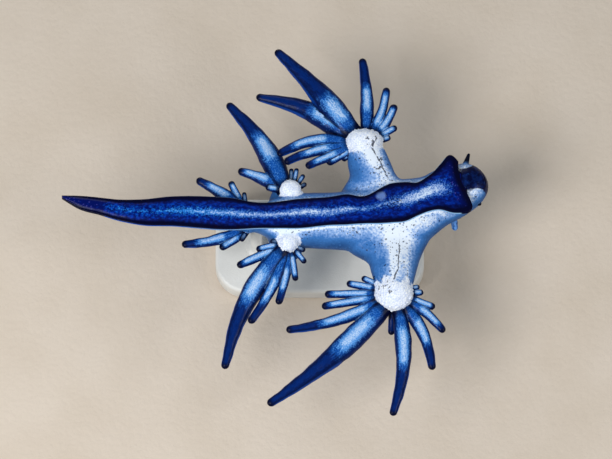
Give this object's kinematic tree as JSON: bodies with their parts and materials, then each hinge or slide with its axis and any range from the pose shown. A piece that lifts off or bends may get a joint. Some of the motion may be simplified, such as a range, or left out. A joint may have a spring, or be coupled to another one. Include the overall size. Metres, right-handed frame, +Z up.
{
  "type": "blue dragon sea slug model",
  "caption": "Life-size still model of a blue dragon sea slug, floating foot upward with its cerata spread, on a plain display stand.",
  "frame": {"origin": "centre of the stand base's underside, on the surface that the model stands on", "axes": "+Z up, from the base to the upturned foot; +X towards the head, tail at -X; +Y towards the animal's own right side, because it floats foot upward"},
  "size_m": [0.0404, 0.0366, 0.0115],
  "materials": {
    "foot_skin": "wet and glossy, deep ultramarine with a silver-blue sheen along the middle and near-black margins",
    "flank_skin": "wet, pale lavender-blue to white, with fine dark specks",
    "cerata_skin": "wet and glossy, white cushions, silver-blue upper faces and navy tips",
    "head_skin": "wet and glossy navy",
    "stand_resin": "plain satin, off-white"
  },
  "bodies": {
    "root": {"neck": "flank_skin", "body_front": "flank_skin", "body_middle": "flank_skin", "body_rear": "flank_skin", "tail_base": "flank_skin", "tail_middle": "flank_skin", "arm_front_left": "flank_skin", "arm_front_right": "flank_skin", "arm_middle_left": "flank_skin", "arm_middle_right": "flank_skin", "foot_front": "foot_skin", "foot_middle": "foot_skin", "foot_rear": "foot_skin", "tail_tip": "foot_skin", "head": "head_skin", "oral_tentacle_left": "head_skin", "oral_tentacle_right": "head_skin", "rhinophore_left": "head_skin", "rhinophore_right": "head_skin", "cerata_front_left_tailward": "cerata_skin", "cerata_front_left_outer": "cerata_skin", "cerata_front_left_headward": "cerata_skin", "cerata_front_right_headward": "cerata_skin", "cerata_front_right_outer": "cerata_skin", "cerata_front_right_tailward": "cerata_skin", "cerata_middle_left_tailward": "cerata_skin", "cerata_middle_left_headward": "cerata_skin", "cerata_middle_right_headward": "cerata_skin", "cerata_middle_right_tailward": "cerata_skin", "cerata_rear_left": "cerata_skin", "cerata_rear_right": "cerata_skin", "stand_base": "stand_resin", "stand_rod_front": "stand_resin", "stand_rod_rear": "stand_resin"}
  },
  "joints": []
}
